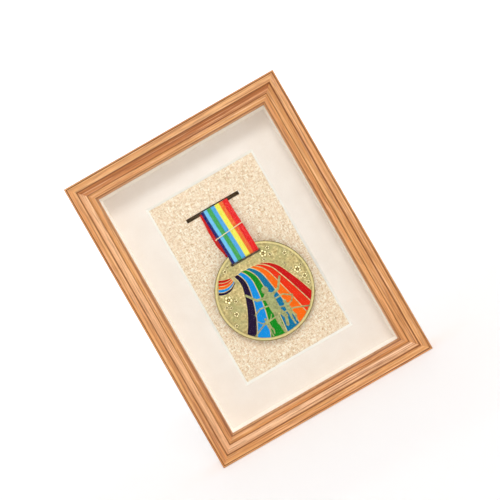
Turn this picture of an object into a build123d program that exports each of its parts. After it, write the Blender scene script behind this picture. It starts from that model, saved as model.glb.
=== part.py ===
from build123d import *

import os
from math import cos, radians, sin

# Shadow-box display frame: a medal on a striped ribbon, behind glazing, in a mitred oak moulding.
#
# Millimetres. +X is to the right and +Z up, seen from the front; +Y runs towards the back.
# The origin is the centre of the bottom rail's underside, at mid-depth of the moulding.
# "Depth" below is the distance behind the moulding's front edge.

os.makedirs("parts", exist_ok=True)

# ---------------------------------------------------------------- driving dimensions

OUTER_W = 150.0
OUTER_H = 200.0
MOULDING_DEPTH = 35.0
RAIL_FACE = 14.8  # outer edge to sight edge
REBATE_WALL = 11.2  # outer edge to rebate wall
LIP_BACK = 9.5  # depth of the lip's rear face

INSERT_W = 127.0  # the 5 x 7 inch insert that the rebate takes
INSERT_H = 177.0
GLAZING_T = 2.0
SPACER_DEPTH = 12.0
SPACER_T = 3.3
SPACER_GAP = 0.1
MAT_T = 1.5
CLOTH_T = 0.5
BOARD_T = 6.5
PANEL_T = 3.0

WINDOW_W = 77.0
WINDOW_H = 129.0
WINDOW_SHIFT_X = 1.1
WINDOW_SHIFT_Z = 0.6

SLOT_W = 39.0  # slot in the board, for the ribbon
SLOT_H = 2.6
SLOT_Z = 146.7
POCKET_W = 44.0  # recess behind the board, for the ribbon's tails
POCKET_BOTTOM = 120.0
POCKET_TOP = 150.0
POCKET_DEPTH = 3.0

MEDAL_R = 32.5
MEDAL_T = 3.5
MEDAL_X = 2.2
MEDAL_Z = 82.5
MEDAL_GAP = 2.5  # between the medal's back and the cloth
RIM_W = 1.6
FIELD_SINK = 0.4
ENAMEL_SINK = 0.1  # enamel surface below the metal beside it
ENAMEL_T = 0.4
MEDAL_SLOT_W = 22.0
MEDAL_SLOT_H = 2.4
MEDAL_BAR = 6.3  # metal left above the medal's slot

RIBBON_W = 20.0
RIBBON_T = 0.8
FRONT_STRAP_X = 2.0
REAR_STRAP_X = 0.0
TAIL_END_Z = 132.0

THREAD_R = 0.4
NEEDLE_R = 0.55
KNOT_R = 0.9
THREAD_LEFT = (-8.9, 126.6)  # X and Z of the needle holes
THREAD_RIGHT = (12.9, 128.5)
THREAD_BEND = 1.1

BUTTON_L = 22.0
BUTTON_W = 9.0
BUTTON_T = 0.9
BUTTON_HEIGHTS = (48.0, 152.0)
RUNNING_GAP = 0.1
SCREW_R = 1.45
SCREW_HEAD_R = 3.0
SCREW_HEAD_T = 1.5
SCREW_LENGTH = 12.0

LEAF_T = 0.8
HINGE_Z = 138.0
HINGE_W = 24.0
KNUCKLE_R = 1.45
PIN_R = 0.9
PIN_GAP = 0.05
LEG_T = 2.1
LEG_GAP = 0.2
LEG_FOOT_Z = 4.0
LEG_TOP_W = 26.0
LEG_FOOT_W = 40.0
LEG_SWING = 28.0
LEG_CORNER = 3.0

HANGER_Z = 168.0
HANGER_OUT = 2.0  # ring axis behind the panel's rear face
WIRE_R = 0.9
RING_HALF_W = 7.0
RING_DROP = 12.0
STRAP_W = 8.0
RIVET_R = 1.2
RIVET_HEAD_R = 1.8
RIVET_HEAD_T = 0.7
RIVET_ROUND = 0.4

# ---------------------------------------------------------------- derived places

CENTRE_Z = OUTER_H / 2
GLAZING_BACK = LIP_BACK + GLAZING_T
SPACER_BACK = GLAZING_BACK + SPACER_DEPTH
MAT_BACK = SPACER_BACK + MAT_T
CLOTH_BACK = MAT_BACK + CLOTH_T
BOARD_BACK = CLOTH_BACK + BOARD_T
PANEL_BACK = BOARD_BACK + PANEL_T

MEDAL_BACK = MAT_BACK - MEDAL_GAP
MEDAL_FRONT = MEDAL_BACK - MEDAL_T
FIELD = MEDAL_FRONT + FIELD_SINK
MEDAL_SLOT_TOP = MEDAL_Z + MEDAL_R - MEDAL_BAR
BUTTON_X = OUTER_W / 2 - REBATE_WALL / 2


def layer(depth):
    """A plane that faces the front, at a depth behind the moulding's front edge."""
    return Plane(origin=(0, depth - MOULDING_DEPTH / 2, 0), x_dir=(1, 0, 0), z_dir=(0, -1, 0))


def row_y(depth):
    """The Y of a depth."""
    return depth - MOULDING_DEPTH / 2


def save(piece, name):
    """Label a finished piece and write its STEP file."""
    piece.label = name
    export_step(piece, f"parts/{name}.step")


# ---------------------------------------------------------------- V nails across the mitres

NAIL_LEG = 3.8
NAIL_T = 0.6
NAIL_DEPTH = 10.0
NAIL_POINTS = (2.4, 6.2)  # distance of each nail's point from both outer edges
FRAME_CORNERS = (
    (-OUTER_W / 2, 0),
    (OUTER_W / 2, 0),
    (OUTER_W / 2, OUTER_H),
    (-OUTER_W / 2, OUTER_H),
)

with BuildPart() as corner_v_nails:
    with BuildSketch(layer(MOULDING_DEPTH)):
        for quarter, corner in enumerate(FRAME_CORNERS):
            with Locations(Location(corner, 90 * quarter)):
                with Locations(*[(point, point) for point in NAIL_POINTS]):
                    Rectangle(NAIL_LEG, NAIL_T, align=(Align.MIN, Align.MIN))
                    Rectangle(NAIL_T, NAIL_LEG, align=(Align.MIN, Align.MIN))
    extrude(amount=NAIL_DEPTH)
save(corner_v_nails.part, "corner_v_nails")

# ---------------------------------------------------------------- screws of the turn buttons

BUTTON_SPOTS = [(side * BUTTON_X, z) for side in (-1, 1) for z in BUTTON_HEIGHTS]
SCREW_SEAT = MOULDING_DEPTH + BUTTON_T + 2 * RUNNING_GAP
RECESS_L = 3.4
RECESS_W = 0.7
RECESS_DEPTH = 0.8
RECESS_TURN = 35  # degrees that the drive recess is turned
SCREW_HEAD_ROUND = 1.0
SCREW_POINT_R = 0.2

with BuildPart() as turn_button_screws:
    with BuildSketch(layer(SCREW_SEAT + SCREW_HEAD_T)):
        with Locations(*BUTTON_SPOTS):
            Circle(SCREW_HEAD_R)
    extrude(amount=SCREW_HEAD_T)
    fillet(turn_button_screws.faces().sort_by(Axis.Y)[-4:].edges(), radius=SCREW_HEAD_ROUND)
    with BuildSketch(layer(SCREW_SEAT)):
        with Locations(*BUTTON_SPOTS):
            Circle(SCREW_R)
    extrude(amount=SCREW_LENGTH)
    chamfer(turn_button_screws.faces().sort_by(Axis.Y)[:4].edges(), length=SCREW_R - SCREW_POINT_R)
    with BuildSketch(layer(SCREW_SEAT + SCREW_HEAD_T)):
        with Locations(*BUTTON_SPOTS):
            Rectangle(RECESS_L, RECESS_W, rotation=RECESS_TURN)
            Rectangle(RECESS_W, RECESS_L, rotation=RECESS_TURN)
    extrude(amount=RECESS_DEPTH, mode=Mode.SUBTRACT)
save(turn_button_screws.part, "turn_button_screws")

# ---------------------------------------------------------------- mitred moulding

EDGE_ROUND = 0.8
EDGE_BEAD_DROP = 0.2  # the outer bead stands this much behind the outer band
EDGE_BEAD_END = (1.0, 0.3)
GROOVE = (1.3, 0.8)
BAND_START = (1.6, 0.0)
BAND_END = (5.6, 0.0)  # outer band, then a quirk
COVE_START = (5.9, 0.8)
COVE_MIDDLE = (7.6, 2.7)
COVE_END = (9.9, 3.6)
QUIRK = (10.3, 4.1)
BEAD_TOP = (12.15, 3.55)
BEAD_END = (14.0, 4.0)
ARRIS = 0.8
HALF_TURN = 1 - sin(radians(45))


def mitred_rail(corner, run, inward, length):
    """One length of moulding between two outer corners, cut at 45 degrees at both ends."""
    far_corner = corner + run * length
    with BuildPart() as rail:
        with BuildSketch(Plane(origin=corner, x_dir=inward, z_dir=run)):
            with BuildLine():
                Line((0, -MOULDING_DEPTH), (0, -EDGE_BEAD_DROP - EDGE_ROUND))
                ThreePointArc(
                    (0, -EDGE_BEAD_DROP - EDGE_ROUND),
                    (EDGE_ROUND * HALF_TURN, -EDGE_BEAD_DROP - EDGE_ROUND * HALF_TURN),
                    (EDGE_ROUND, -EDGE_BEAD_DROP),
                )
                Polyline(
                    (EDGE_ROUND, -EDGE_BEAD_DROP),
                    *[(u, -v) for u, v in (EDGE_BEAD_END, GROOVE, BAND_START, BAND_END, COVE_START)],
                )
                ThreePointArc(*[(u, -v) for u, v in (COVE_START, COVE_MIDDLE, COVE_END)])
                Line((COVE_END[0], -COVE_END[1]), (QUIRK[0], -QUIRK[1]))
                ThreePointArc(*[(u, -v) for u, v in (QUIRK, BEAD_TOP, BEAD_END)])
                ThreePointArc(
                    (BEAD_END[0], -BEAD_END[1]),
                    (RAIL_FACE - ARRIS * HALF_TURN, -BEAD_END[1] - ARRIS * HALF_TURN),
                    (RAIL_FACE, -BEAD_END[1] - ARRIS),
                )
                Polyline(
                    (RAIL_FACE, -BEAD_END[1] - ARRIS),
                    (RAIL_FACE, -LIP_BACK),
                    (REBATE_WALL, -LIP_BACK),
                    (REBATE_WALL, -MOULDING_DEPTH),
                    (0, -MOULDING_DEPTH),
                )
            make_face()
        extrude(amount=length)
        split(bisect_by=Plane(origin=corner, z_dir=run - inward), keep=Keep.TOP)
        split(bisect_by=Plane(origin=far_corner, z_dir=-run - inward), keep=Keep.TOP)
        add(corner_v_nails.part, mode=Mode.SUBTRACT)
        add(turn_button_screws.part, mode=Mode.SUBTRACT)
    return rail.part


FRONT_Y = -MOULDING_DEPTH / 2
RIGHT = Vector(1, 0, 0)
UP = Vector(0, 0, 1)
RAILS = (
    ("frame_rail_bottom", Vector(-OUTER_W / 2, FRONT_Y, 0), RIGHT, UP, OUTER_W),
    ("frame_stile_right", Vector(OUTER_W / 2, FRONT_Y, 0), UP, -RIGHT, OUTER_H),
    ("frame_rail_top", Vector(OUTER_W / 2, FRONT_Y, OUTER_H), -RIGHT, -UP, OUTER_W),
    ("frame_stile_left", Vector(-OUTER_W / 2, FRONT_Y, OUTER_H), -UP, RIGHT, OUTER_H),
)
for rail_name, corner, run, inward, length in RAILS:
    save(mitred_rail(corner, run, inward, length), rail_name)

# ---------------------------------------------------------------- glazing and spacers

with BuildPart() as front_glazing:
    with BuildSketch(layer(GLAZING_BACK)):
        with Locations((0, CENTRE_Z)):
            Rectangle(INSERT_W, INSERT_H)
    extrude(amount=GLAZING_T)
save(front_glazing.part, "front_glazing")

SPACER_EDGE = REBATE_WALL + SPACER_GAP  # outer edge of the frame to the spacers
SIDE_SPACER_X = OUTER_W / 2 - SPACER_EDGE - SPACER_T / 2
END_SPACER_OFFSET = CENTRE_Z - SPACER_EDGE - SPACER_T / 2
END_SPACER_L = OUTER_W - 2 * (SPACER_EDGE + SPACER_T)
SIDE_SPACER_L = OUTER_H - 2 * SPACER_EDGE
SPACERS = (
    ("spacer_left", -SIDE_SPACER_X, CENTRE_Z, SPACER_T, SIDE_SPACER_L),
    ("spacer_right", SIDE_SPACER_X, CENTRE_Z, SPACER_T, SIDE_SPACER_L),
    ("spacer_bottom", 0, CENTRE_Z - END_SPACER_OFFSET, END_SPACER_L, SPACER_T),
    ("spacer_top", 0, CENTRE_Z + END_SPACER_OFFSET, END_SPACER_L, SPACER_T),
)
for spacer_name, x, z, width, height in SPACERS:
    with BuildPart() as spacer:
        with BuildSketch(layer(SPACER_BACK)):
            with Locations((x, z)):
                Rectangle(width, height)
        extrude(amount=SPACER_DEPTH)
    save(spacer.part, spacer_name)

# ---------------------------------------------------------------- mat with its bevelled window

with BuildPart() as mat_board:
    with BuildSketch(layer(MAT_BACK)):
        with Locations((0, CENTRE_Z)):
            Rectangle(INSERT_W, INSERT_H)
    extrude(amount=MAT_T)
    with BuildSketch(layer(MAT_BACK)):
        with Locations((WINDOW_SHIFT_X, CENTRE_Z + WINDOW_SHIFT_Z)):
            Rectangle(WINDOW_W, WINDOW_H)
    extrude(amount=MAT_T, taper=-45, mode=Mode.SUBTRACT)
save(mat_board.part, "mat_board")

# ---------------------------------------------------------------- holes that the thread needs

with BuildPart() as needle_holes:
    with BuildSketch(layer(BOARD_BACK)):
        with Locations(THREAD_LEFT, THREAD_RIGHT):
            Circle(NEEDLE_R)
    extrude(amount=BOARD_BACK - MEDAL_BACK)

# ---------------------------------------------------------------- cloth and display board

with BuildPart() as display_cloth:
    with BuildSketch(layer(CLOTH_BACK)):
        with Locations((0, CENTRE_Z)):
            Rectangle(INSERT_W, INSERT_H)
        with Locations((0, SLOT_Z)):
            Rectangle(SLOT_W, SLOT_H, mode=Mode.SUBTRACT)
    extrude(amount=CLOTH_T)
    add(needle_holes.part, mode=Mode.SUBTRACT)
save(display_cloth.part, "display_cloth")

with BuildPart() as display_board:
    with BuildSketch(layer(BOARD_BACK)):
        with Locations((0, CENTRE_Z)):
            Rectangle(INSERT_W, INSERT_H)
        with Locations((0, SLOT_Z)):
            Rectangle(SLOT_W, SLOT_H, mode=Mode.SUBTRACT)
    extrude(amount=BOARD_T)
    with BuildSketch(layer(BOARD_BACK)):
        with Locations((0, (POCKET_BOTTOM + POCKET_TOP) / 2)):
            Rectangle(POCKET_W, POCKET_TOP - POCKET_BOTTOM)
    extrude(amount=POCKET_DEPTH, mode=Mode.SUBTRACT)
    add(needle_holes.part, mode=Mode.SUBTRACT)
save(display_board.part, "display_board")

# ---------------------------------------------------------------- ribbon

SLOT_SILL = SLOT_Z - SLOT_H / 2
SILL_GAP = 0.1  # under a strap that lies on the board
SLOT_LOFT = 0.25  # between the two straps in the slot
TAIL_LOFT = 0.15  # between their tails behind the board
LEG_LOFT = 0.05  # between the front strap's end and the rear strap, where they are sewn
LOOP_SLACK = 0.5  # under the medal's bar
REAR_LEG_END = 2.0  # the rear strap ends this far above the loop's lowest run
REAR_STRAP_Z = SLOT_SILL + SILL_GAP + RIBBON_T / 2  # the rear strap lies on the slot's sill
FRONT_STRAP_Z = REAR_STRAP_Z + RIBBON_T + SLOT_LOFT  # the front strap lies on the rear one
POCKET_FLOOR_Y = row_y(BOARD_BACK - POCKET_DEPTH)
REAR_TAIL_Y = POCKET_FLOOR_Y + SILL_GAP + RIBBON_T / 2
FRONT_TAIL_Y = REAR_TAIL_Y + RIBBON_T + TAIL_LOFT
BAR_CLEARANCE = 0.55  # room round the medal's bar for its swing
LOOP_FRONT_Y = row_y(MEDAL_FRONT) - BAR_CLEARANCE - RIBBON_T / 2
LOOP_BACK_Y = row_y(MEDAL_BACK) + BAR_CLEARANCE + RIBBON_T / 2
LOOP_BOTTOM_Z = MEDAL_SLOT_TOP - LOOP_SLACK - RIBBON_T / 2
REAR_LEG_Y = LOOP_BACK_Y + RIBBON_T + LEG_LOFT
LOOP_END_Z = 119.5
LEG_STRAIGHTENS_Z = 117.0
FRONT_LEG_TOP_Y = 5.7
SEAM_Z = 117.0
STITCH_R = 0.25
STITCH_PITCH = 3.5
STITCH_COUNT = 5

FRONT_ROUTE = (
    (FRONT_TAIL_Y, TAIL_END_Z),
    (FRONT_TAIL_Y, FRONT_STRAP_Z),
    (FRONT_LEG_TOP_Y, FRONT_STRAP_Z),
    (LOOP_FRONT_Y, LEG_STRAIGHTENS_Z),
    (LOOP_FRONT_Y, LOOP_BOTTOM_Z),
    (LOOP_BACK_Y, LOOP_BOTTOM_Z),
    (LOOP_BACK_Y, LOOP_END_Z),
)
TIGHT_BEND = 1.4
FRONT_BENDS = [TIGHT_BEND, TIGHT_BEND, 20.0, TIGHT_BEND, TIGHT_BEND]
REAR_ROUTE = (
    (REAR_TAIL_Y, TAIL_END_Z),
    (REAR_TAIL_Y, REAR_STRAP_Z),
    (REAR_LEG_Y, REAR_STRAP_Z),
    (REAR_LEG_Y, LOOP_BOTTOM_Z + REAR_LEG_END),
)
REAR_BENDS = [0.6, 0.8]

with BuildPart() as ribbon_seam_stitches:
    with BuildSketch(layer(REAR_LEG_Y + RIBBON_T / 2 + MOULDING_DEPTH / 2)):
        with Locations(((FRONT_STRAP_X + REAR_STRAP_X) / 2, SEAM_Z)):
            with GridLocations(STITCH_PITCH, 1, STITCH_COUNT, 1):
                Circle(STITCH_R)
    extrude(amount=REAR_LEG_Y - LOOP_BACK_Y + RIBBON_T)
save(ribbon_seam_stitches.part, "ribbon_seam_stitches")


def ribbon_strap(route, bends, centre_x):
    """A flat strap that follows a route of (Y, Z) points, with its thread and stitch holes."""
    with BuildPart() as strap:
        with BuildSketch(Plane.YZ.offset(centre_x)):
            with BuildLine():
                FilletPolyline(*route, radius=bends)
            trace(line_width=RIBBON_T)
        extrude(amount=RIBBON_W / 2, both=True)
        add(needle_holes.part, mode=Mode.SUBTRACT)
        add(ribbon_seam_stitches.part, mode=Mode.SUBTRACT)
    return strap.part


save(ribbon_strap(FRONT_ROUTE, FRONT_BENDS, FRONT_STRAP_X), "ribbon_front")
save(ribbon_strap(REAR_ROUTE, REAR_BENDS, REAR_STRAP_X), "ribbon_rear")

TAPE_W = 34.0
TAPE_H = 8.0
TAPE_T = 0.2
TAPE_RISE = 1.0  # above the ends of the tails
TAPE_FRONT = FRONT_TAIL_Y + RIBBON_T / 2 + MOULDING_DEPTH / 2

with BuildPart() as ribbon_tape:
    with BuildSketch(layer(TAPE_FRONT + TAPE_T)):
        with Locations(((FRONT_STRAP_X + REAR_STRAP_X) / 2, TAIL_END_Z + TAPE_H / 2 + TAPE_RISE)):
            Rectangle(TAPE_W, TAPE_H)
    extrude(amount=TAPE_T)
save(ribbon_tape.part, "ribbon_tape")

# ---------------------------------------------------------------- thread across the ribbon

KNOT_GAP = 0.05
KNOT_Y = POCKET_FLOOR_Y + KNOT_R + KNOT_GAP
THREAD_LEFT_Y = 1.3
THREAD_RIGHT_Y = 1.65
THREAD_ROUTE = (
    (THREAD_LEFT[0], KNOT_Y, THREAD_LEFT[1]),
    (THREAD_LEFT[0], THREAD_LEFT_Y, THREAD_LEFT[1]),
    (THREAD_RIGHT[0], THREAD_RIGHT_Y, THREAD_RIGHT[1]),
    (THREAD_RIGHT[0], KNOT_Y, THREAD_RIGHT[1]),
)

with BuildPart() as ribbon_tie_thread:
    with BuildLine() as thread_route:
        FilletPolyline(*THREAD_ROUTE, radius=THREAD_BEND)
    with BuildSketch(Plane(origin=THREAD_ROUTE[0], z_dir=(0, -1, 0))):
        Circle(THREAD_R)
    sweep()
    with Locations(THREAD_ROUTE[0], THREAD_ROUTE[-1]):
        Sphere(KNOT_R)
save(ribbon_tie_thread.part, "ribbon_tie_thread")

# ---------------------------------------------------------------- medal

ENAMEL_COLOURS = ("purple", "azure", "green", "teal", "orange", "vermilion", "red")
BANDS = len(ENAMEL_COLOURS)
DIVIDER = 0.6  # metal left between two bands of the fan
SMALLEST_CELL = 0.5  # square mm; a smaller patch of enamel is left as metal
MEDAL_EDGE_ROUND = 0.5

# The fan's lines fall from its crest, through a knee, to a foot beside the rim. Places are in medal radii
# from the medal's centre, and angles are in degrees.
CREST_LEFT = (-0.40, 0.54)
CREST_W = 0.64
CREST_RISE = 0.07
CREST_FALL = 0.10
KNEE_LEFT = (-0.365, 0.24)
KNEE_W = 0.90
KNEE_HEADINGS = (-103.0, -63.0)
FOOT_BEARINGS = (218.0, 231.0, 248.0, 269.0, 288.0, 304.0, 318.0, 331.0)
FOOT_R = MEDAL_R - RIM_W - DIVIDER

PENNANT_COLOURS = ("red", "vermilion", "orange", "azure", "purple")
PENNANT_DIVIDER = 0.4
PENNANT_ROOT = (-0.46, 0.56)
PENNANT_ROOT_SPREAD = (0.04, -0.13)
PENNANT_TIP = (-0.70, 0.64)
PENNANT_TIP_SPREAD = (-0.15, -0.27)
PENNANT_SAG = (0.015, 0.09)  # of its first and last lines

# A plain figure of a runner with raised arms: each limb's ends and width, as shares of its height.
LIMBS = (
    ((0, 0.92), (0, 0.94), 0.13),
    ((0, 0.78), (0, 0.50), 0.19),
    ((-0.10, 0.79), (0.10, 0.79), 0.07),
    ((-0.10, 0.79), (-0.24, 0.83), 0.055),
    ((0.10, 0.79), (0.24, 0.83), 0.055),
    ((-0.24, 0.83), (-0.38, 1.02), 0.045),
    ((0.24, 0.83), (0.38, 1.02), 0.045),
    ((-0.04, 0.48), (-0.06, 0.24), 0.085),
    ((-0.06, 0.24), (-0.05, 0.03), 0.06),
    ((0.04, 0.48), (0.11, 0.29), 0.085),
    ((0.11, 0.29), (0.06, 0.12), 0.06),
)
RUNNERS = ((0.01, -0.93, 1.01), (-0.27, -0.88, 0.40), (0.24, -0.88, 0.54))  # x, foot and height of each
STREAMERS = (
    ((-0.42, -0.34), (-0.26, -0.27), (-0.08, -0.30), (0.10, -0.24), (0.28, -0.23), (0.44, -0.35)),
    ((-0.68, -0.73), (-0.36, -0.59), (0.0, -0.55), (0.34, -0.58), (0.69, -0.72)),
)
STREAMER_W = 0.9
STREAMER_BEND = 2.0


def medal_plane(depth):
    """A plane that faces the front, centred on the medal."""
    return Plane(
        origin=(MEDAL_X, row_y(depth), MEDAL_Z), x_dir=(1, 0, 0), z_dir=(0, -1, 0)
    )


def fan_line(index):
    """The top, knee and foot of a line of the fan, and its heading at the knee."""
    share = index / BANDS
    top = Vector(
        CREST_LEFT[0] + share * CREST_W,
        CREST_LEFT[1] + CREST_RISE * share - CREST_FALL * share**2,
    )
    knee = Vector(KNEE_LEFT[0] + share * KNEE_W, KNEE_LEFT[1])
    bearing = radians(FOOT_BEARINGS[index])
    foot = Vector(cos(bearing), sin(bearing)) * FOOT_R
    heading = radians(KNEE_HEADINGS[0] + share * (KNEE_HEADINGS[1] - KNEE_HEADINGS[0]))
    return top * MEDAL_R, knee * MEDAL_R, foot, Vector(cos(heading), sin(heading))


with BuildSketch() as fan_dividers:
    for index in range(BANDS + 1):
        top, knee, foot, heading = fan_line(index)
        with BuildLine():
            TangentArc(knee, top, tangent=-heading)
            TangentArc(knee, foot, tangent=heading)
        trace(line_width=DIVIDER)


def fan_band(index):
    """One band of the fan, with half a divider left clear on each side."""
    left_top, left_knee, left_foot, left_heading = fan_line(index)
    right_top, right_knee, right_foot, right_heading = fan_line(index + 1)
    with BuildSketch() as band:
        with BuildLine():
            TangentArc(left_knee, left_top, tangent=-left_heading)
            TangentArc(left_knee, left_foot, tangent=left_heading)
            ThreePointArc(left_foot, (left_foot + right_foot).normalized() * FOOT_R, right_foot)
            TangentArc(right_knee, right_foot, tangent=right_heading)
            TangentArc(right_knee, right_top, tangent=-right_heading)
            Line(right_top, left_top)
        make_face()
        add(fan_dividers.sketch, mode=Mode.SUBTRACT)
    return band.sketch


def pennant_line(share):
    """Root, middle and tip of a line of the pennant that flies from the fan's crest."""
    root = Vector(*PENNANT_ROOT) + Vector(*PENNANT_ROOT_SPREAD) * share
    tip = Vector(*PENNANT_TIP) + Vector(*PENNANT_TIP_SPREAD) * share
    sag = PENNANT_SAG[0] + share * (PENNANT_SAG[1] - PENNANT_SAG[0])
    middle = (root + tip) / 2 - Vector(0, sag)
    return root * MEDAL_R, middle * MEDAL_R, tip * MEDAL_R


def pennant_stripe(index):
    """One stripe of the pennant."""
    upper = pennant_line(index / len(PENNANT_COLOURS))
    lower = pennant_line((index + 1) / len(PENNANT_COLOURS))
    with BuildSketch() as stripe:
        with BuildLine():
            ThreePointArc(*upper)
            Line(upper[2], lower[2])
            ThreePointArc(*reversed(lower))
            Line(lower[0], upper[0])
        make_face()
        offset(amount=-PENNANT_DIVIDER / 2, kind=Kind.INTERSECTION)
    return stripe.sketch


with BuildSketch() as runners:
    for runner_x, foot_z, height in RUNNERS:
        for start, end, width in LIMBS:
            start_spot = Vector(runner_x + height * start[0], foot_z + height * start[1]) * MEDAL_R
            end_spot = Vector(runner_x + height * end[0], foot_z + height * end[1]) * MEDAL_R
            SlotCenterPoint((start_spot + end_spot) / 2, end_spot, width * height * MEDAL_R)
    for streamer in STREAMERS:
        with BuildLine():
            FilletPolyline(*[Vector(*spot) * MEDAL_R for spot in streamer], radius=STREAMER_BEND)
        trace(line_width=STREAMER_W)


def enamel_inlay(index, colour):
    """One band of the fan with the runners left clear, and its stripe of the pennant."""
    with BuildPart() as inlay:
        with BuildSketch(medal_plane(FIELD + ENAMEL_SINK + ENAMEL_T)) as cells:
            add(fan_band(index))
            add(runners.sketch, mode=Mode.SUBTRACT)
            for cell in cells.faces():
                if cell.area < SMALLEST_CELL:
                    add(cell, mode=Mode.SUBTRACT)
            if colour in PENNANT_COLOURS:
                add(pennant_stripe(PENNANT_COLOURS.index(colour)))
        extrude(amount=ENAMEL_T)
    return inlay.part


inlays = [enamel_inlay(index, colour) for index, colour in enumerate(ENAMEL_COLOURS)]
for inlay, colour in zip(inlays, ENAMEL_COLOURS):
    save(inlay, f"enamel_{colour}")

with BuildPart() as medal_body:
    with BuildSketch(medal_plane(MEDAL_BACK)):
        Circle(MEDAL_R)
    extrude(amount=MEDAL_T)
    fillet(medal_body.edges(), radius=MEDAL_EDGE_ROUND)
    with BuildSketch(medal_plane(FIELD)):
        Circle(MEDAL_R - RIM_W)
    extrude(amount=FIELD_SINK, mode=Mode.SUBTRACT)
    with BuildSketch(medal_plane(MEDAL_BACK)):
        Circle(MEDAL_R - RIM_W)
    extrude(amount=FIELD_SINK, mode=Mode.SUBTRACT)
    with BuildSketch(medal_plane(MEDAL_BACK)):
        with Locations((0, MEDAL_R - MEDAL_BAR - MEDAL_SLOT_H / 2)):
            SlotOverall(MEDAL_SLOT_W, MEDAL_SLOT_H)
    extrude(amount=MEDAL_T, mode=Mode.SUBTRACT)
    for inlay in inlays:
        add(inlay, mode=Mode.SUBTRACT)
        with Locations((0, -ENAMEL_SINK, 0)):
            add(inlay, mode=Mode.SUBTRACT)
save(medal_body.part, "medal_body")

# ---------------------------------------------------------------- easel hinge and leg

HINGE_Y = row_y(MOULDING_DEPTH) + LEG_GAP + KNUCKLE_R
LEAF_TOP_Z = 152.0
KNUCKLE_SPLIT = 5.0  # half the width of the middle knuckle's place
KNUCKLE_SIDE_GAP = 0.1
SWEEP_GAP = 0.4  # round the knuckles, where the other leaf stands back
LEG_BACK = MOULDING_DEPTH + LEG_GAP + LEG_T
LEG_TOP_Z = HINGE_Z - KNUCKLE_R - SWEEP_GAP
LEG_LEAF_W = 18.0
LEG_LEAF_FOOT_Z = 122.0
TAB_L = 5.5
TAB_T = 0.8
PIN_HEAD_R = 1.3
PIN_HEAD_T = 0.5
PANEL_RIVET_SPOTS = ((-7.5, 148.5), (7.5, 148.5))
LEG_RIVET_SPOTS = ((-5.5, 127.0), (5.5, 127.0))
HANGER_RIVET_DROP = 3.6
HANGER_RIVET_SPOTS = ((0, HANGER_Z - HANGER_RIVET_DROP),)


def rivets(spots, head_depth, tail_depth):
    """Flat-headed rivets at (X, Z) spots; the head's underside and the tail are given as depths."""
    with BuildPart() as group:
        with BuildSketch(layer(head_depth + RIVET_HEAD_T)):
            with Locations(*spots):
                Circle(RIVET_HEAD_R)
        extrude(amount=RIVET_HEAD_T)
        rear_faces = group.faces().sort_by(Axis.Y)[-len(spots) :]
        fillet(rear_faces.edges(), radius=RIVET_ROUND)
        with BuildSketch(layer(head_depth)):
            with Locations(*spots):
                Circle(RIVET_R)
        extrude(amount=head_depth - tail_depth)
    return group.part


easel_panel_rivets = rivets(PANEL_RIVET_SPOTS, MOULDING_DEPTH + LEAF_T, BOARD_BACK)
save(easel_panel_rivets, "easel_panel_rivets")
easel_leg_rivets = rivets(LEG_RIVET_SPOTS, LEG_BACK + LEAF_T, MOULDING_DEPTH + LEG_GAP)
save(easel_leg_rivets, "easel_leg_rivets")
hanger_rivet = rivets(HANGER_RIVET_SPOTS, MOULDING_DEPTH + LEAF_T, BOARD_BACK)
save(hanger_rivet, "hanger_rivet")

with BuildPart() as easel_hinge_pin:
    with BuildSketch(Plane.YZ.offset(-HINGE_W / 2)):
        with Locations((HINGE_Y, HINGE_Z)):
            Circle(PIN_R)
    extrude(amount=HINGE_W)
    for end, direction in ((HINGE_W / 2, 1), (-HINGE_W / 2, -1)):
        with BuildSketch(Plane.YZ.offset(end)):
            with Locations((HINGE_Y, HINGE_Z)):
                Circle(PIN_HEAD_R)
        extrude(amount=direction * PIN_HEAD_T)
save(easel_hinge_pin.part, "easel_hinge_pin")

with BuildPart() as easel_hinge_panel_leaf:
    with BuildSketch(layer(MOULDING_DEPTH + LEAF_T)):
        with Locations((0, HINGE_Z)):
            Rectangle(HINGE_W, LEAF_TOP_Z - HINGE_Z, align=(Align.CENTER, Align.MIN))
            Rectangle(
                2 * (KNUCKLE_SPLIT + KNUCKLE_SIDE_GAP),
                KNUCKLE_R + SWEEP_GAP,
                align=(Align.CENTER, Align.MIN),
                mode=Mode.SUBTRACT,
            )
    extrude(amount=LEAF_T)
    for inner_end, direction in ((KNUCKLE_SPLIT, 1), (-KNUCKLE_SPLIT, -1)):
        with BuildSketch(Plane.YZ.offset(inner_end)):
            with Locations((HINGE_Y, HINGE_Z)):
                Circle(KNUCKLE_R)
        extrude(amount=direction * (HINGE_W / 2 - KNUCKLE_SPLIT))
    with BuildSketch(Plane.YZ):
        with Locations((HINGE_Y, HINGE_Z)):
            Circle(PIN_R + PIN_GAP)
    extrude(amount=HINGE_W, both=True, mode=Mode.SUBTRACT)
    add(easel_panel_rivets, mode=Mode.SUBTRACT)
save(easel_hinge_panel_leaf.part, "easel_hinge_panel_leaf")

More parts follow.
